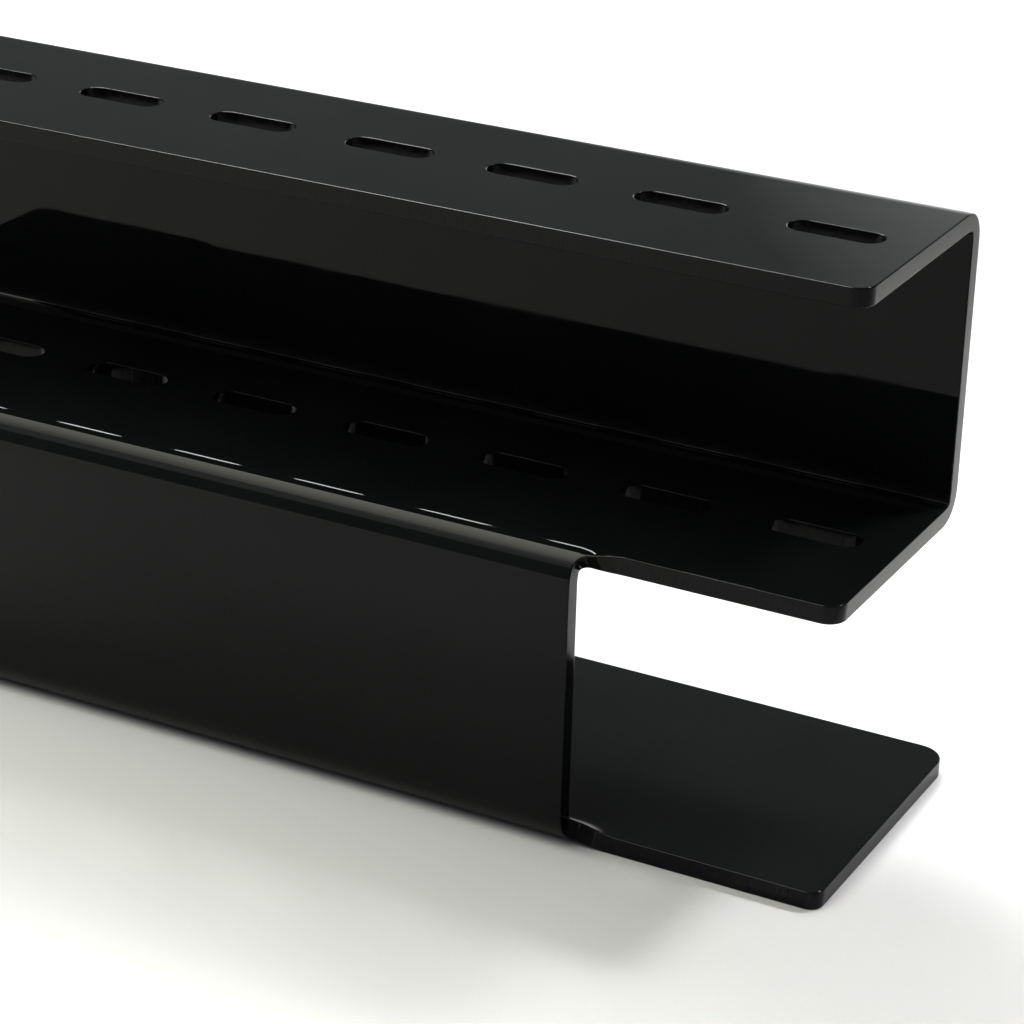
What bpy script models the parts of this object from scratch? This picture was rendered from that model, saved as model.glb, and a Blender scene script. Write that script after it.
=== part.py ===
"""Paint rack organizer: a tiered rack that holds hobby pots and brushes.

The real rack is one sheet of black acrylic. It is laser-cut flat, with two rows of
slots and a notch in each end, and is then bent along four straight lines. Seen from
its end it is an S: top shelf, back wall, middle shelf, front panel and base.
Each flat panel and each bend of that sheet is a node here, cut apart by a thin seam.

Frame: metres, +Z up, +X along the rack, -Y towards the front.
Origin: centre of the footprint, on the plane that the base stands on.
"""

import math

import bmesh
import bpy

MM = 0.001

# Overall sizes of the bent rack
LENGTH = 202.0 * MM             # along X
HEIGHT = 98.0 * MM              # underside of the base to the top shelf's upper face
SHEET_T = 3.0 * MM              # acrylic thickness
BASE_REAR_Y = 56.5 * MM         # rear edge of the base, from the front panel's face
BACK_WALL_Y = 49.7 * MM         # rear face of the back wall, from the front panel's face
TOP_SHELF_FRONT_Y = 5.2 * MM    # free edge of the top shelf, from the front panel's face
MIDDLE_SHELF_TOP = 50.2 * MM    # upper face of the middle shelf
REAR_INNER_R = 2.2 * MM         # inside radius of the two rear bends
FRONT_INNER_R = 2.5 * MM        # inside radius of the two front bends

# Cut-outs in the flat sheet
SLOT_COUNT = 8
SLOT_LENGTH = 15.0 * MM
SLOT_WIDTH = 5.1 * MM
SLOT_END_MARGIN = 13.8 * MM     # end of the sheet to the first slot's centre
SLOT_CENTRE_Y = 26.4 * MM       # slot centre line, from the front panel's face
NOTCH_LENGTH = 41.9 * MM        # end of the sheet to the notch's inner side
NOTCH_INSET_Y = 3.0 * MM        # edge of each end tab, from the front panel's face
SHELF_CORNER_R = 3.0 * MM       # corners of the top shelf and of the middle shelf's tabs
BASE_FRONT_R = 2.4 * MM         # front corners of the base
BASE_REAR_R = 4.5 * MM          # rear corners of the base
NOTCH_R = 1.8 * MM              # inner corners of the notches
TAB_RELAX = 8.0 * MM            # distance over which an end tab's edge flattens out

# Resolution and seams
SEAM = 0.3 * MM                 # gap between two neighbouring nodes
CORNER_STEPS = 6                # segments in each rounded corner
SLOT_END_STEPS = 10             # segments in each round slot end
BEND_STEPS = 10                 # segments around each bend
TAB_STEPS = 6                   # columns across the stretch where a tab flattens out
CUTTER_MARGIN = 2.0 * MM

REAR_R = REAR_INNER_R + SHEET_T         # outside radii
FRONT_R = FRONT_INNER_R + SHEET_T
NOTCH_X = LENGTH / 2 - NOTCH_LENGTH
TAB_REACH = FRONT_R - NOTCH_INSET_Y     # how far a tab runs on past the bend line
SLOT_PITCH = (LENGTH - 2 * SLOT_END_MARGIN) / (SLOT_COUNT - 1)
CENTRE_Y = BASE_REAR_Y / 2

SHEET_COLOR = (0.006, 0.006, 0.007, 1.0)
SHEET_ROUGHNESS = 0.06

# Flat panels of the sheet: name and length
PANELS = (
    ("top_shelf", BACK_WALL_Y - REAR_R - TOP_SHELF_FRONT_Y),
    ("back_wall", HEIGHT - MIDDLE_SHELF_TOP + SHEET_T - 2 * REAR_R),
    ("middle_shelf", BACK_WALL_Y - REAR_R - FRONT_R),
    ("front_panel", MIDDLE_SHELF_TOP - 2 * FRONT_R),
    ("base_plate", BASE_REAR_Y - FRONT_R),
)

# Bends between those panels: name, outside radius, turn in quarter circles, fixed end
BENDS = (
    ("top_rear_bend", REAR_R, -1, "start"),
    ("lower_rear_bend", REAR_R, -1, "start"),
    ("upper_front_bend", FRONT_R, 1, "start"),
    ("lower_front_bend", FRONT_R, 1, "end"),
)


def clear_scene():
    """Remove everything that a new file holds."""
    for old in list(bpy.data.objects):
        bpy.data.objects.remove(old, do_unlink=True)


def list_runs():
    """The sheet's panels and bends in order, from the top shelf to the base."""
    runs = []
    for i, (name, length) in enumerate(PANELS):
        runs.append({"name": name, "length": length, "turn": 0, "mid_r": 0.0, "fixed": "start"})
        if i < len(BENDS):
            bend, outer_r, turn, fixed = BENDS[i]
            mid_r = outer_r - SHEET_T / 2
            runs.append({"name": bend, "length": mid_r * math.pi / 2, "turn": turn,
                         "mid_r": mid_r, "fixed": fixed})
    return runs


def walk_sheet():
    """Give each run its place: flat start, folded start (y, z) and heading."""
    runs = list_runs()
    flat = 0.0
    y = TOP_SHELF_FRONT_Y
    z = HEIGHT - SHEET_T / 2
    heading = 0.0
    for run in runs:
        run["flat"] = flat
        run["start"] = (y, z)
        run["heading"] = heading
        if run["turn"]:
            end = heading + run["turn"] * math.pi / 2
            y += run["turn"] * run["mid_r"] * (math.sin(end) - math.sin(heading))
            z -= run["turn"] * run["mid_r"] * (math.cos(end) - math.cos(heading))
            heading = end
        else:
            y += run["length"] * math.cos(heading)
            z += run["length"] * math.sin(heading)
        run["end"] = (y, z)
        run["end_heading"] = heading
        flat += run["length"]
    return runs


def fold_share(x):
    """Share of the full bend that the sheet takes at x: all of it between the notches."""
    beyond = (abs(x) - NOTCH_X) / TAB_RELAX
    if beyond <= 0.0:
        return 1.0
    if beyond >= 1.0:
        return 0.0
    return 1.0 - beyond * beyond * (3.0 - 2.0 * beyond)


def fold_point(run, x, flat, offset):
    """Place a point of the flat sheet, offset from its middle plane, on the bent sheet."""
    along = flat - run["flat"]
    heading = run["heading"]
    y, z = run["start"]
    share = 1.0
    if run["turn"] and abs(x) > NOTCH_X and run["name"].endswith("front_bend"):
        share = fold_share(x)
    if run["turn"] and run["fixed"] == "end":
        along -= run["length"]
        heading = run["end_heading"]
        y, z = run["end"]
    curve = run["turn"] * share / run["mid_r"] if run["turn"] else 0.0
    if abs(curve) < 1e-6:
        y += along * math.cos(heading)
        z += along * math.sin(heading)
        final = heading
    else:
        final = heading + curve * along
        y += (math.sin(final) - math.sin(heading)) / curve
        z -= (math.cos(final) - math.cos(heading)) / curve
    y -= offset * math.sin(final)
    z += offset * math.cos(final)
    return x, y - CENTRE_Y, z


def rounded_outline(corners):
    """Round each (x, flat, radius) corner of a right-angled outline."""
    points = []
    count = len(corners)
    for i, (x, f, radius) in enumerate(corners):
        x_in, f_in = unit_step(corners[i - 1], corners[i])
        x_out, f_out = unit_step(corners[i], corners[(i + 1) % count])
        cx = x - radius * (x_in - x_out)
        cf = f - radius * (f_in - f_out)
        for k in range(CORNER_STEPS + 1):
            angle = math.pi / 2 * k / CORNER_STEPS
            sine, cosine = math.sin(angle), math.cos(angle)
            px = cx - radius * x_out * cosine + radius * x_in * sine
            pf = cf - radius * f_out * cosine + radius * f_in * sine
            points.append((px, pf))
    return points


def unit_step(a, b):
    """Unit step from corner a to corner b, along one of the two axes."""
    dx = b[0] - a[0]
    df = b[1] - a[1]
    size = math.hypot(dx, df)
    return dx / size, df / size


def sheet_outline(runs):
    """Outline of the flat sheet, with its rounded corners and the two end notches."""
    place = {run["name"]: run for run in runs}
    front = place["upper_front_bend"]["flat"] + TAB_REACH
    back = place["base_plate"]["flat"] - TAB_REACH
    end = place["base_plate"]["flat"] + place["base_plate"]["length"]
    half = LENGTH / 2
    right = [
        (half, 0.0, SHELF_CORNER_R),
        (half, front, SHELF_CORNER_R),
        (NOTCH_X, front, NOTCH_R),
        (NOTCH_X, back, NOTCH_R),
        (half, back, BASE_FRONT_R),
        (half, end, BASE_REAR_R),
    ]
    left = [(-x, f, radius) for x, f, radius in reversed(right)]
    return rounded_outline(right + left)


def trim(bm, flat, keep_above):
    """Cut the flat sheet straight across and drop one side."""
    geom = bm.verts[:] + bm.edges[:] + bm.faces[:]
    bmesh.ops.bisect_plane(bm, geom=geom, plane_co=(0, flat, 0), plane_no=(0, 1, 0),
                           clear_inner=keep_above, clear_outer=not keep_above)


def score(bm, point, normal):
    """Add a line of vertices across the flat sheet, so that it can curve there."""
    geom = bm.verts[:] + bm.edges[:] + bm.faces[:]
    bmesh.ops.bisect_plane(bm, geom=geom, plane_co=point, plane_no=normal)


def score_bend(bm, run):
    """Score one bend: lines around the bend, and columns where a tab flattens out."""
    for k in range(1, BEND_STEPS):
        score(bm, (0, run["flat"] + run["length"] * k / BEND_STEPS, 0), (0, 1, 0))
    if not run["name"].endswith("front_bend"):
        return
    for side in (-1, 1):
        for k in range(TAB_STEPS + 1):
            score(bm, (side * (NOTCH_X + TAB_RELAX * k / TAB_STEPS), 0, 0), (1, 0, 0))


def thicken(bm):
    """Turn the flat face into a solid: the middle plane plus and minus half the sheet."""
    made = bmesh.ops.extrude_face_region(bm, geom=bm.faces[:])["geom"]
    raised = {v for v in made if isinstance(v, bmesh.types.BMVert)}
    for v in bm.verts:
        v.co.z = SHEET_T / 2 if v in raised else -SHEET_T / 2


def sheet_material(name):
    """Gloss black acrylic."""
    material = bpy.data.materials.new(name)
    material.use_nodes = True
    shader = material.node_tree.nodes["Principled BSDF"]
    shader.inputs["Base Color"].default_value = SHEET_COLOR
    shader.inputs["Roughness"].default_value = SHEET_ROUGHNESS
    material.diffuse_color = SHEET_COLOR
    return material


def make_object(name, bm, smooth):
    """Finish a bmesh as a named object."""
    bmesh.ops.recalc_face_normals(bm, faces=bm.faces[:])
    mesh = bpy.data.meshes.new(name)
    bm.to_mesh(mesh)
    bm.free()
    if smooth:
        mesh.shade_smooth()
        mesh.set_sharp_from_angle(angle=math.radians(30))
    obj = bpy.data.objects.new(name, mesh)
    bpy.context.scene.collection.objects.link(obj)
    return obj


def make_run(run, outline, first, last):
    """Make one panel or bend of the sheet, with half a seam at each inner end."""
    bm = bmesh.new()
    bm.faces.new([bm.verts.new((x, flat, 0)) for x, flat in outline])
    if not first:
        trim(bm, run["flat"] + SEAM / 2, True)
    if not last:
        trim(bm, run["flat"] + run["length"] - SEAM / 2, False)
    if run["turn"]:
        score_bend(bm, run)
    thicken(bm)
    for v in bm.verts:
        v.co = fold_point(run, v.co.x, v.co.y, v.co.z)
    if run["turn"]:
        bmesh.ops.triangulate(bm, faces=[f for f in bm.faces if len(f.verts) > 4])
    obj = make_object(run["name"], bm, smooth=bool(run["turn"]))
    obj.data.materials.append(sheet_material(run["name"]))
    return obj


def slot_outline(centre_x, centre_y):
    """Round-ended slot, long along X."""
    radius = SLOT_WIDTH / 2
    reach = SLOT_LENGTH / 2 - radius
    points = []
    for side, start in ((1, -math.pi / 2), (-1, math.pi / 2)):
        for k in range(SLOT_END_STEPS + 1):
            angle = start + math.pi * k / SLOT_END_STEPS
            x = centre_x + side * reach + radius * math.cos(angle)
            points.append((x, centre_y + radius * math.sin(angle)))
    return points


def cut_slots(shelf, top):
    """Cut one row of slots through a level shelf whose upper face is at top."""
    bm = bmesh.new()
    low = top - SHEET_T - CUTTER_MARGIN
    for k in range(SLOT_COUNT):
        x = -LENGTH / 2 + SLOT_END_MARGIN + k * SLOT_PITCH
        ring = [bm.verts.new((px, py, low)) for px, py in slot_outline(x, SLOT_CENTRE_Y - CENTRE_Y)]
        bm.faces.new(ring)
    made = bmesh.ops.extrude_face_region(bm, geom=bm.faces[:])["geom"]
    raised = [v for v in made if isinstance(v, bmesh.types.BMVert)]
    bmesh.ops.translate(bm, verts=raised, vec=(0, 0, SHEET_T + 2 * CUTTER_MARGIN))
    cutter = make_object(shelf.name + "_slot_cutter", bm, smooth=False)
    cutter.hide_render = True
    cutter.display_type = "WIRE"
    modifier = shelf.modifiers.new("slots", "BOOLEAN")
    modifier.operation = "DIFFERENCE"
    modifier.solver = "EXACT"
    modifier.object = cutter


def build():
    """Build the whole rack."""
    clear_scene()
    runs = walk_sheet()
    outline = sheet_outline(runs)
    made = {}
    for i, run in enumerate(runs):
        made[run["name"]] = make_run(run, outline, i == 0, i == len(runs) - 1)
    cut_slots(made["top_shelf"], HEIGHT)
    cut_slots(made["middle_shelf"], MIDDLE_SHELF_TOP)


build()
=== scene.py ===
"""Paint rack organizer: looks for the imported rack.

The whole rack is one bent sheet of gloss black acrylic, so one continuous mesh stands
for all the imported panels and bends. It is cut flat, its laser-cut edges are softened,
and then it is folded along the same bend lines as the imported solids.
"""

import math

import bmesh
import bpy
from mathutils import Matrix, Vector


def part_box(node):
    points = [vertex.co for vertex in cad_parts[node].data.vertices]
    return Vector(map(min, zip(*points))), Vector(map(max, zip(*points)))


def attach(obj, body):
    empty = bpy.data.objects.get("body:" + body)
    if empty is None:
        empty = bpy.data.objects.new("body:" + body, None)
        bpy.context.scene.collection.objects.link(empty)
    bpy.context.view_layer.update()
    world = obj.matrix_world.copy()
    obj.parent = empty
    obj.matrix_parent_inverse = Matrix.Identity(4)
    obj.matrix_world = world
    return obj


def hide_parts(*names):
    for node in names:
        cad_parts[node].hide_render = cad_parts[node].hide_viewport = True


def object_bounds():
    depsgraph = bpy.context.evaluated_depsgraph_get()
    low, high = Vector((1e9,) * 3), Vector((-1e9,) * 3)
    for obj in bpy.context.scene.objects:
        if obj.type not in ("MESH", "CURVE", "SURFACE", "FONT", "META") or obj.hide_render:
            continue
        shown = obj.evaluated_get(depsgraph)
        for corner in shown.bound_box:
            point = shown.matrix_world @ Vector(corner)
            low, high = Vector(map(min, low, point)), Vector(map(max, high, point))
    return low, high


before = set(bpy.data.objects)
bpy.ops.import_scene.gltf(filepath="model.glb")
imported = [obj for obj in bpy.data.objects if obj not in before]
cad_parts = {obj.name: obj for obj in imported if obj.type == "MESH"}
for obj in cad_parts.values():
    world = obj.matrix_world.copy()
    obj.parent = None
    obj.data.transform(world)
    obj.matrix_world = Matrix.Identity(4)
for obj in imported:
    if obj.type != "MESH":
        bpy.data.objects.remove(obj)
cad_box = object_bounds()

MM = 0.001

# The sheet, as cut
SHEET_T = 3.0 * MM
SLOT_COUNT = 8
SLOT_LENGTH = 15.0 * MM
SLOT_WIDTH = 5.1 * MM
SLOT_END_MARGIN = 13.8 * MM     # end of the sheet to the first slot's centre
SLOT_FROM_REAR = 23.3 * MM      # slot centre line to the back wall's rear face
NOTCH_LENGTH = 41.9 * MM        # end of the sheet to the notch's inner side
NOTCH_INSET = 3.0 * MM          # edge of each end tab, from the front panel's face
SHELF_CORNER_R = 3.0 * MM
BASE_FRONT_R = 2.4 * MM
BASE_REAR_R = 4.5 * MM
NOTCH_R = 1.8 * MM
EDGE_SOFTENING = 0.22 * MM      # rounding that the laser leaves on each cut edge

# The sheet, as bent
REAR_REACH = 5.9 * MM           # start of a rear bend to the outer face round the corner
FRONT_REACH = 6.4 * MM          # the same for the front bends, made along a wider hot strip
BEND_SOFTNESS = 0.8             # 0 bends evenly, 1 bends least at the heated strip's borders
INNER_SHARPNESS = 0.45          # how far the rear bends' inside is drawn into its corner
TAB_RELAX = 8.0 * MM            # distance over which an end tab's edge flattens out

# Resolution
CORNER_STEPS = 14               # segments in each rounded corner
SLOT_END_STEPS = 24             # segments in each round slot end
BEND_STEPS = 28                 # strips around each bend
TAB_STEPS = 10                  # columns across the stretch where a tab flattens out
EDGE_STEPS = 3                  # segments across each softened edge
PATH_STEPS = 64                 # steps that a bend's curve is summed in
SAME_PLACE = 1e-7               # two points closer than this are one
PLANAR_ANGLE = math.radians(0.5)
ARRIS_ANGLE = math.radians(60)

# Material slots of the sheet, and the UV map of its flat coordinates
CAST_FACE, CUT_EDGE, SLOT_WALL = range(3)
LEVEL_NORMAL = 0.75             # a face of the flat sheet that is at least this level is cast
FLAT_UV = "flat"

# Looks
ACRYLIC_IOR = 1.205             # lower than acrylic's own, so that a pale floor reflects dark
SLOT_WALL_SPECULAR = 0.35       # 0.5 is the default; lower here, dulling the slot walls as painted shade
FACE_COLORS = ((0.0028, 0.0034, 0.0033, 1), (0.0042, 0.0049, 0.0047, 1))
EDGE_COLORS = ((0.0018, 0.0019, 0.0021, 1), (0.0045, 0.0047, 0.0050, 1))
# Slot wall colours: darker than the cut edge's, as painted shade in the slots
SLOT_SHADE_COLORS = ((0.0010, 0.0010, 0.0012, 1), (0.0026, 0.0026, 0.0028, 1))
HAIRLINE_SCALE = (1.0, 26.0, 1.0)       # draws the hairlines out along the rack
FLOOR_SIZE = 3.0                # half of its side
FLOOR_COLOR = (0.45, 0.45, 0.45, 1)
WORLD_COLOR = (0.97, 0.98, 1.0, 1)
WORLD_STRENGTH = 0.19

# Soft boxes: name, place, target, sizes, radiance along the axis, spread in degrees, colour
SOFT_BOXES = (
    ("key_box", (-0.55, 0.55, 1.05), (0.0, 0.0, 0.05), (0.50, 0.50), 34.0, 180.0, (1, 1, 1)),
    ("overhead_box", (-0.75, -0.70, 1.20), (-0.75, -0.70, 0.0), (1.2, 2.2), 13.5, 96.0,
     (0.99, 1.0, 0.88)),
    ("front_box", (-0.75, -0.85, 1.22), (-0.75, -0.85, 0.0), (1.5, 1.9), 1.2, 180.0, (1, 1, 1)),
    ("rear_floor_box", (0.40, 0.55, 0.85), (0.16, 0.11, 0.0), (0.22, 0.22), 280.0, 20.0,
     (1, 1, 1)),
    ("rear_right_card", (0.15, 1.50, 0.38), (0.15, 0.0, 0.25), (1.8, 0.76), 4.2, 52.5,
     (1, 1, 1)),
)

# Camera
CAMERA_PLACE = (0.25392, -0.42330, 0.25006)
CAMERA_AZIMUTH = 27.39          # degrees to the right of the rack's front
CAMERA_ELEVATION = 23.70        # degrees above the level
CAMERA_ROLL = 1.65              # degrees
CAMERA_SENSOR = 36.0            # mm
CAMERA_LENS = 114.93            # mm
CAMERA_CLIP = (0.01, 20.0)


def bent_share(u):
    """Share of a bend's turn made by share u of its length: the strip's borders turn less."""
    return (1.0 - BEND_SOFTNESS) * u + BEND_SOFTNESS * u * u * (3.0 - 2.0 * u)


def mean_cosine():
    """Mean cosine of the heading along a quarter bend."""
    total = 0.0
    for k in range(PATH_STEPS):
        total += math.cos(math.pi / 2 * bent_share((k + 0.5) / PATH_STEPS))
    return total / PATH_STEPS


LOW, HIGH = cad_box
LENGTH = HIGH.x - LOW.x
NOTCH_X = LENGTH / 2 - NOTCH_LENGTH
SLOT_PITCH = (LENGTH - 2 * SLOT_END_MARGIN) / (SLOT_COUNT - 1)


def list_runs():
    """Each run of the sheet in order, from the top shelf to the base.

    The table gives a panel's length or a bend's reach, the turn in quarter circles, and
    the end that stays put where a tab flattens the bend.
    """
    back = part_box("back_wall")[1].y
    shelf_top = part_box("middle_shelf")[1].z
    shelf_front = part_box("top_shelf")[0].y
    wall = HIGH.z - shelf_top + SHEET_T
    table = (
        ("top_shelf", back - REAR_REACH - shelf_front, 0, "start"),
        ("top_rear_bend", REAR_REACH, -1, "start"),
        ("back_wall", wall - 2 * REAR_REACH, 0, "start"),
        ("lower_rear_bend", REAR_REACH, -1, "start"),
        ("middle_shelf", back - LOW.y - REAR_REACH - FRONT_REACH, 0, "start"),
        ("upper_front_bend", FRONT_REACH, 1, "start"),
        ("front_panel", shelf_top - 2 * FRONT_REACH, 0, "start"),
        ("lower_front_bend", FRONT_REACH, 1, "end"),
        ("base_plate", HIGH.y - LOW.y - FRONT_REACH, 0, "start"),
    )
    runs = []
    for name, size, turn, fixed in table:
        run = {"name": name, "length": size, "turn": turn, "fixed": fixed, "reach": 0.0}
        if turn:
            run["reach"] = size - SHEET_T / 2
            run["length"] = run["reach"] / mean_cosine()
        runs.append(run)
    return runs


def walk_sheet():
    """Give each run its flat start, its folded start (y, z) and its heading."""
    runs = list_runs()
    flat = 0.0
    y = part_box("top_shelf")[0].y
    z = HIGH.z - SHEET_T / 2
    heading = 0.0
    for run in runs:
        run["flat"] = flat
        run["start"] = (y, z)
        run["heading"] = heading
        if run["turn"]:
            end = heading + run["turn"] * math.pi / 2
            y += run["reach"] * (math.cos(heading) + math.cos(end))
            z += run["reach"] * (math.sin(heading) + math.sin(end))
            heading = end
        else:
            y += run["length"] * math.cos(heading)
            z += run["length"] * math.sin(heading)
        run["end"] = (y, z)
        run["end_heading"] = heading
        flat += run["length"]
    return runs


def fold_share(x):
    """Share of the full bend that the sheet takes at x: all of it between the notches."""
    beyond = (abs(x) - NOTCH_X) / TAB_RELAX
    if beyond <= 0.0:
        return 1.0
    if beyond >= 1.0:
        return 0.0
    return 1.0 - beyond * beyond * (3.0 - 2.0 * beyond)


def signed_share(u):
    """Share of a bend's turn at u of its length, or -u back from its end."""
    return math.copysign(bent_share(abs(u)), u)


def bend_path(run, along, share):
    """Place and heading at a length into a bend that makes only a share of its turn."""
    y, z = run["start"]
    heading = run["heading"]
    if run["fixed"] == "end":
        y, z = run["end"]
        heading = run["end_heading"]
        along -= run["length"]
    step = along / PATH_STEPS
    turn = run["turn"] * share * math.pi / 2
    for k in range(PATH_STEPS):
        angle = heading + turn * signed_share((k + 0.5) * step / run["length"])
        y += step * math.cos(angle)
        z += step * math.sin(angle)
    return y, z, heading + turn * signed_share(along / run["length"])


def fold_point(run, x, flat, offset):
    """Place a point of the flat sheet, offset from its middle plane, on the bent sheet."""
    along = flat - run["flat"]
    if run["turn"]:
        share = fold_share(x) if run["name"].endswith("front_bend") else 1.0
        y, z, final = bend_path(run, along, share)
    else:
        y, z = run["start"]
        final = run["heading"]
        y += along * math.cos(final)
        z += along * math.sin(final)
    place = Vector((x, y - offset * math.sin(final), z + offset * math.cos(final)))
    if run["name"].endswith("rear_bend") and offset < 0.0:
        place = draw_into_corner(run, place, along, offset)
    return place


def draw_into_corner(run, place, along, offset):
    """Tighten the inside of a rear bend, where the hot sheet closes over the former's edge."""
    first = run["heading"]
    last = run["end_heading"]
    y, z = run["start"]
    corner = Vector((
        place.x,
        y + run["reach"] * math.cos(first) - offset * (math.sin(first) + math.sin(last)),
        z + run["reach"] * math.sin(first) + offset * (math.cos(first) + math.cos(last)),
    ))
    middle = math.sin(math.pi * along / run["length"]) ** 2
    depth = -offset / (SHEET_T / 2)
    return place.lerp(corner, INNER_SHARPNESS * middle * depth)


def unit_step(a, b):
    """Unit step from corner a to corner b, along one of the two axes."""
    dx = b[0] - a[0]
    df = b[1] - a[1]
    size = math.hypot(dx, df)
    return dx / size, df / size


def rounded_outline(corners):
    """Round each (x, flat, radius) corner of a right-angled outline."""
    points = []
    count = len(corners)
    for i, (x, f, radius) in enumerate(corners):
        x_in, f_in = unit_step(corners[i - 1], corners[i])
        x_out, f_out = unit_step(corners[i], corners[(i + 1) % count])
        cx = x - radius * (x_in - x_out)
        cf = f - radius * (f_in - f_out)
        for k in range(CORNER_STEPS + 1):
            angle = math.pi / 2 * k / CORNER_STEPS
            sine, cosine = math.sin(angle), math.cos(angle)
            px = cx - radius * x_out * cosine + radius * x_in * sine
            pf = cf - radius * f_out * cosine + radius * f_in * sine
            points.append((px, pf))
    return points


def sheet_outline(runs):
    """Outline of the flat sheet, with its rounded corners and the two end notches."""
    place = {run["name"]: run for run in runs}
    tab = FRONT_REACH - NOTCH_INSET
    front = place["upper_front_bend"]["flat"] + tab
    back = place["base_plate"]["flat"] - tab
    end = place["base_plate"]["flat"] + place["base_plate"]["length"]
    half = LENGTH / 2
    right = [
        (half, 0.0, SHELF_CORNER_R),
        (half, front, SHELF_CORNER_R),
        (NOTCH_X, front, NOTCH_R),
        (NOTCH_X, back, NOTCH_R),
        (half, back, BASE_FRONT_R),
        (half, end, BASE_REAR_R),
    ]
    left = [(-x, f, radius) for x, f, radius in reversed(right)]
    return rounded_outline(right + left)


def slot_outline(centre_x, centre_flat):
    """Round-ended slot, long along X."""
    radius = SLOT_WIDTH / 2
    reach = SLOT_LENGTH / 2 - radius
    points = []
    for side, start in ((1, -math.pi / 2), (-1, math.pi / 2)):
        for k in range(SLOT_END_STEPS + 1):
            angle = start + math.pi * k / SLOT_END_STEPS
            x = centre_x + side * reach + radius * math.cos(angle)
            points.append((x, centre_flat + radius * math.sin(angle)))
    return points


def prisms(name, outlines, half_height):
    """Mesh object of upright prisms over the given flat outlines."""
    bm = bmesh.new()
    for outline in outlines:
        bm.faces.new([bm.verts.new((x, f, -half_height)) for x, f in outline])
    made = bmesh.ops.extrude_face_region(bm, geom=bm.faces[:])["geom"]
    raised = [v for v in made if isinstance(v, bmesh.types.BMVert)]
    bmesh.ops.translate(bm, verts=raised, vec=(0, 0, 2 * half_height))
    bmesh.ops.recalc_face_normals(bm, faces=bm.faces[:])
    mesh = bpy.data.meshes.new(name)
    bm.to_mesh(mesh)
    bm.free()
    obj = bpy.data.objects.new(name, mesh)
    bpy.context.scene.collection.objects.link(obj)
    return obj


def slot_rows(runs):
    """Flat places of the two rows of slots: one per shelf."""
    place = {run["name"]: run for run in runs}
    top = place["top_shelf"]
    middle = place["middle_shelf"]
    return (
        top["flat"] + top["length"] + REAR_REACH - SLOT_FROM_REAR,
        middle["flat"] - REAR_REACH + SLOT_FROM_REAR,
    )


def slot_outlines(runs):
    """Outlines of all the slots in the flat sheet."""
    return [
        slot_outline(-LENGTH / 2 + SLOT_END_MARGIN + k * SLOT_PITCH, flat)
        for flat in slot_rows(runs)
        for k in range(SLOT_COUNT)
    ]


def cut_flat_sheet(runs):
    """Laser-cut sheet before bending, as a bmesh."""
    plate = prisms("flat_plate", [sheet_outline(runs)], SHEET_T / 2)
    cutter = prisms("slot_cutter", slot_outlines(runs), SHEET_T)
    modifier = plate.modifiers.new("slots", "BOOLEAN")
    modifier.operation = "DIFFERENCE"
    modifier.solver = "EXACT"
    modifier.object = cutter
    graph = bpy.context.evaluated_depsgraph_get()
    bm = bmesh.new()
    bm.from_object(plate, graph)
    for obj in (plate, cutter):
        mesh = obj.data
        bpy.data.objects.remove(obj)
        bpy.data.meshes.remove(mesh)
    return bm


def soften_edges(bm):
    """Round the arris all along both faces of the sheet."""
    bmesh.ops.dissolve_limit(bm, angle_limit=PLANAR_ANGLE, verts=bm.verts[:],
                             edges=bm.edges[:])
    arrises = [
        e for e in bm.edges
        if len(e.link_faces) == 2 and e.calc_face_angle(0.0) > ARRIS_ANGLE
        and abs(e.verts[0].co.z - e.verts[1].co.z) < SAME_PLACE
    ]
    bmesh.ops.bevel(bm, geom=arrises, offset=EDGE_SOFTENING, offset_type="OFFSET",
                    segments=EDGE_STEPS, profile=0.5, affect="EDGES", clamp_overlap=False)


def score(bm, point, normal):
    """Add a line of vertices across the flat sheet, so that it can curve there."""
    geom = bm.verts[:] + bm.edges[:] + bm.faces[:]
    bmesh.ops.bisect_plane(bm, geom=geom, plane_co=point, plane_no=normal,
                           dist=SAME_PLACE)


def score_bends(bm, runs):
    """Score every bend line, the curve of every bend and the ends of the tabs."""
    for run in runs:
        if not run["turn"]:
            continue
        for k in range(BEND_STEPS + 1):
            score(bm, (0, run["flat"] + run["length"] * k / BEND_STEPS, 0), (0, 1, 0))
    for side in (-1, 1):
        for k in range(TAB_STEPS + 1):
            score(bm, (side * (NOTCH_X + TAB_RELAX * k / TAB_STEPS), 0, 0), (1, 0, 0))


def run_at(runs, flat):
    """The run of the sheet that holds this flat place."""
    for run in runs:
        if flat <= run["flat"] + run["length"] + 1e-9:
            return run
    return runs[-1]


def face_material(face, rows):
    """Material of a face of the flat sheet: cast face, outer cut edge or slot wall."""
    if abs(face.normal.z) > LEVEL_NORMAL:
        return CAST_FACE
    middle = face.calc_center_median()
    in_row = any(abs(middle.y - flat) < 0.6 * SLOT_WIDTH for flat in rows)
    inside = abs(middle.x) < LENGTH / 2 - 0.3 * SLOT_END_MARGIN
    return SLOT_WALL if in_row and inside else CUT_EDGE


def fold_sheet(bm, runs):
    """Store the flat places as a UV map, mark the cut edges, then fold every vertex."""
    layer = bm.loops.layers.uv.new(FLAT_UV)
    rows = slot_rows(runs)
    for face in bm.faces:
        face.material_index = face_material(face, rows)
        face.smooth = True
        for loop in face.loops:
            loop[layer].uv = (loop.vert.co.x + LENGTH / 2, loop.vert.co.y)
    for v in bm.verts:
        v.co = fold_point(run_at(runs, v.co.y), v.co.x, v.co.y, v.co.z)


def input_value(node, name, value):
    """Set one socket of a node."""
    node.inputs[name].default_value = value


def new_material(name):
    """Empty node material with its Principled shader."""
    material = bpy.data.materials.new(name)
    material.use_nodes = True
    shader = material.node_tree.nodes["Principled BSDF"]
    return material, material.node_tree, shader


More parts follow.
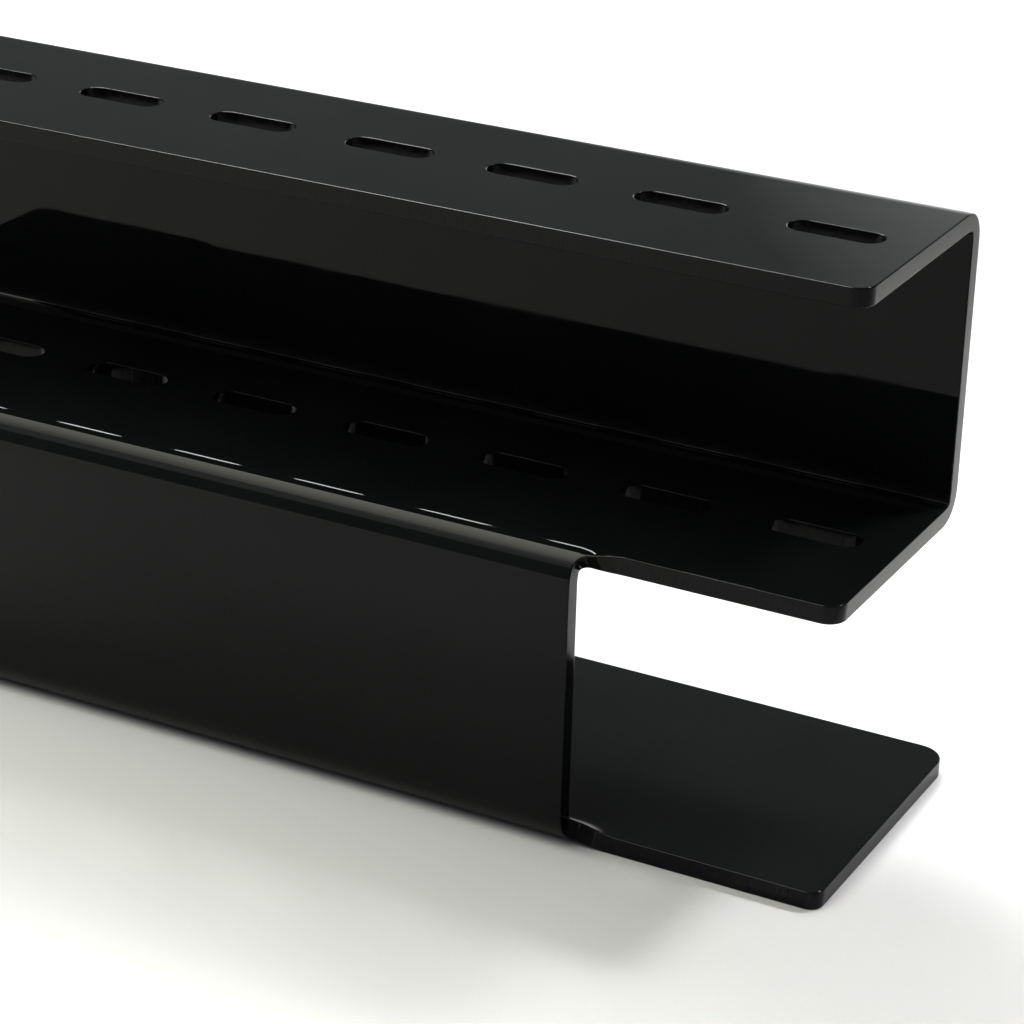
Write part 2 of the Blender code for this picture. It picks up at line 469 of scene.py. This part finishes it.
def sheet_coordinates(tree, scale=(1.0, 1.0, 1.0)):
    """Flat sheet coordinates in metres, scaled."""
    uv = tree.nodes.new("ShaderNodeUVMap")
    uv.uv_map = FLAT_UV
    mapping = tree.nodes.new("ShaderNodeMapping")
    input_value(mapping, "Scale", scale)
    tree.links.new(uv.outputs["UV"], mapping.inputs["Vector"])
    return mapping.outputs["Vector"]


def noise(tree, vector, scale, detail, roughness=0.5):
    """Noise texture on the given coordinates."""
    node = tree.nodes.new("ShaderNodeTexNoise")
    input_value(node, "Scale", scale)
    input_value(node, "Detail", detail)
    input_value(node, "Roughness", roughness)
    tree.links.new(vector, node.inputs["Vector"])
    return node.outputs["Fac"]


def ramp(tree, value, low, high, low_out, high_out):
    """Remap a value from one range to another, clamped."""
    node = tree.nodes.new("ShaderNodeMapRange")
    node.clamp = True
    input_value(node, "From Min", low)
    input_value(node, "From Max", high)
    input_value(node, "To Min", low_out)
    input_value(node, "To Max", high_out)
    tree.links.new(value, node.inputs["Value"])
    return node.outputs["Result"]


def add(tree, a, b):
    """Sum of two values."""
    node = tree.nodes.new("ShaderNodeMath")
    node.operation = "ADD"
    tree.links.new(a, node.inputs[0])
    tree.links.new(b, node.inputs[1])
    return node.outputs["Value"]


def tint(tree, shader, factor, low, high):
    """Vary the base colour between two colours."""
    node = tree.nodes.new("ShaderNodeMix")
    node.data_type = "RGBA"
    input_value(node, "A", low)
    input_value(node, "B", high)
    tree.links.new(factor, node.inputs["Factor"])
    tree.links.new(node.outputs["Result"], shader.inputs["Base Color"])


def bump(tree, shader, height, strength, distance):
    """Drive the shader's normal by a height."""
    node = tree.nodes.new("ShaderNodeBump")
    input_value(node, "Strength", strength)
    input_value(node, "Distance", distance)
    tree.links.new(height, node.inputs["Height"])
    tree.links.new(node.outputs["Normal"], shader.inputs["Normal"])


def acrylic_face():
    """Cast gloss face: near-black, with faint handling haze, hairlines and a slow ripple."""
    material, tree, shader = new_material("gloss_black_acrylic")
    input_value(shader, "IOR", ACRYLIC_IOR)
    where = sheet_coordinates(tree)
    haze = noise(tree, where, 38.0, 3.0)
    hairline = noise(tree, sheet_coordinates(tree, HAIRLINE_SCALE), 95.0, 2.0, 0.6)
    speck = noise(tree, where, 1900.0, 1.0)
    ripple = noise(tree, where, 55.0, 1.0)
    worn = add(tree, ramp(tree, haze, 0.35, 0.7, 0.025, 0.06),
               ramp(tree, hairline, 0.62, 0.8, 0.0, 0.03))
    dusty = add(tree, worn, ramp(tree, speck, 0.74, 0.8, 0.0, 0.12))
    tree.links.new(dusty, shader.inputs["Roughness"])
    tint(tree, shader, ramp(tree, haze, 0.3, 0.75, 0.0, 1.0), *FACE_COLORS)
    bump(tree, shader, ripple, 0.08, 0.4 * MM)
    return material


def acrylic_edge():
    """Laser-cut edge: polished by the beam, with fine striations through the thickness."""
    material, tree, shader = new_material("laser_cut_acrylic_edge")
    input_value(shader, "IOR", ACRYLIC_IOR)
    where = sheet_coordinates(tree)
    striation = noise(tree, where, 2400.0, 2.0, 0.6)
    wander = noise(tree, where, 120.0, 2.0)
    tree.links.new(ramp(tree, wander, 0.3, 0.7, 0.06, 0.13), shader.inputs["Roughness"])
    tint(tree, shader, striation, *EDGE_COLORS)
    bump(tree, shader, striation, 0.12, 0.06 * MM)
    return material


def slot_wall():
    """Slot walls: painted shade, darker and duller than the outer edge of the same acrylic."""
    material, tree, shader = new_material("slot_wall_with_painted_shade")
    input_value(shader, "IOR", ACRYLIC_IOR)
    input_value(shader, "Specular IOR Level", SLOT_WALL_SPECULAR)
    slot_mottle = noise(tree, sheet_coordinates(tree), 900.0, 3.0)
    tree.links.new(ramp(tree, slot_mottle, 0.3, 0.7, 0.12, 0.3), shader.inputs["Roughness"])
    # darker colours than the cut edge are painted shade in the slots; the noise only mottles
    # them
    tint(tree, shader, slot_mottle, *SLOT_SHADE_COLORS)
    bump(tree, shader, slot_mottle, 0.2, 0.06 * MM)
    return material


def bent_sheet():
    """The whole rack: one sheet, cut, softened and bent."""
    runs = walk_sheet()
    bm = cut_flat_sheet(runs)
    soften_edges(bm)
    score_bends(bm, runs)
    fold_sheet(bm, runs)
    mesh = bpy.data.meshes.new("bent_acrylic_sheet")
    bm.to_mesh(mesh)
    bm.free()
    mesh.materials.append(acrylic_face())
    mesh.materials.append(acrylic_edge())
    mesh.materials.append(slot_wall())
    sheet = bpy.data.objects.new("bent_acrylic_sheet", mesh)
    bpy.context.scene.collection.objects.link(sheet)
    weighted = sheet.modifiers.new("even_normals", "WEIGHTED_NORMAL")
    weighted.mode = "FACE_AREA"
    weighted.weight = 100
    weighted.keep_sharp = False
    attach(sheet, "root")
    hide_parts(*[run["name"] for run in runs])


def floor():
    """Plain pale floor."""
    bm = bmesh.new()
    signs = ((-1, -1), (1, -1), (1, 1), (-1, 1))
    bm.faces.new([bm.verts.new((x * FLOOR_SIZE, y * FLOOR_SIZE, 0.0)) for x, y in signs])
    mesh = bpy.data.meshes.new("studio_floor")
    bm.to_mesh(mesh)
    bm.free()
    obj = bpy.data.objects.new("studio_floor", mesh)
    bpy.context.scene.collection.objects.link(obj)
    material, _, shader = new_material("pale_floor")
    input_value(shader, "Base Color", FLOOR_COLOR)
    input_value(shader, "Roughness", 0.8)
    input_value(shader, "Specular IOR Level", 0.2)
    mesh.materials.append(material)


def area_light(name, place, target, sizes, radiance, spread, color):
    """Soft box aimed at a point, of the given radiance along its axis."""
    light = bpy.data.lights.new(name, "AREA")
    light.shape = "RECTANGLE"
    light.size, light.size_y = sizes
    light.spread = math.radians(spread)
    light.color = color
    half = light.spread / 2
    gathered = 1.0 - half / math.tan(half) if spread < 180.0 else 1.0
    light.energy = radiance * math.pi * sizes[0] * sizes[1] * gathered
    obj = bpy.data.objects.new(name, light)
    obj.location = place
    obj.rotation_euler = (Vector(target) - Vector(place)).to_track_quat("-Z", "Y").to_euler()
    bpy.context.scene.collection.objects.link(obj)


def lights():
    """Soft studio light: a key box behind on the left, wide boxes above, and rear fills."""
    world = bpy.data.worlds.new("studio")
    bpy.context.scene.world = world
    world.use_nodes = True
    background = world.node_tree.nodes["Background"]
    input_value(background, "Color", WORLD_COLOR)
    input_value(background, "Strength", WORLD_STRENGTH)
    for soft_box in SOFT_BOXES:
        area_light(*soft_box)


def camera():
    """Camera to the front right of the rack, looking down on it."""
    azimuth = math.radians(CAMERA_AZIMUTH)
    elevation = math.radians(CAMERA_ELEVATION)
    roll = math.radians(CAMERA_ROLL)
    back = Vector((math.sin(azimuth) * math.cos(elevation),
                   -math.cos(azimuth) * math.cos(elevation), math.sin(elevation)))
    right = Vector((math.cos(azimuth), math.sin(azimuth), 0.0))
    up = back.cross(right)
    tilted_right = right * math.cos(roll) + up * math.sin(roll)
    tilted_up = up * math.cos(roll) - right * math.sin(roll)
    data = bpy.data.cameras.new("camera")
    data.sensor_width = CAMERA_SENSOR
    data.lens = CAMERA_LENS
    data.clip_start, data.clip_end = CAMERA_CLIP
    obj = bpy.data.objects.new("camera", data)
    pose = Matrix((tilted_right, tilted_up, back)).transposed().to_4x4()
    pose.translation = Vector(CAMERA_PLACE)
    obj.matrix_world = pose
    bpy.context.scene.collection.objects.link(obj)
    bpy.context.scene.camera = obj


bent_sheet()
floor()
lights()
camera()
bpy.context.scene.view_settings.view_transform = "Standard"
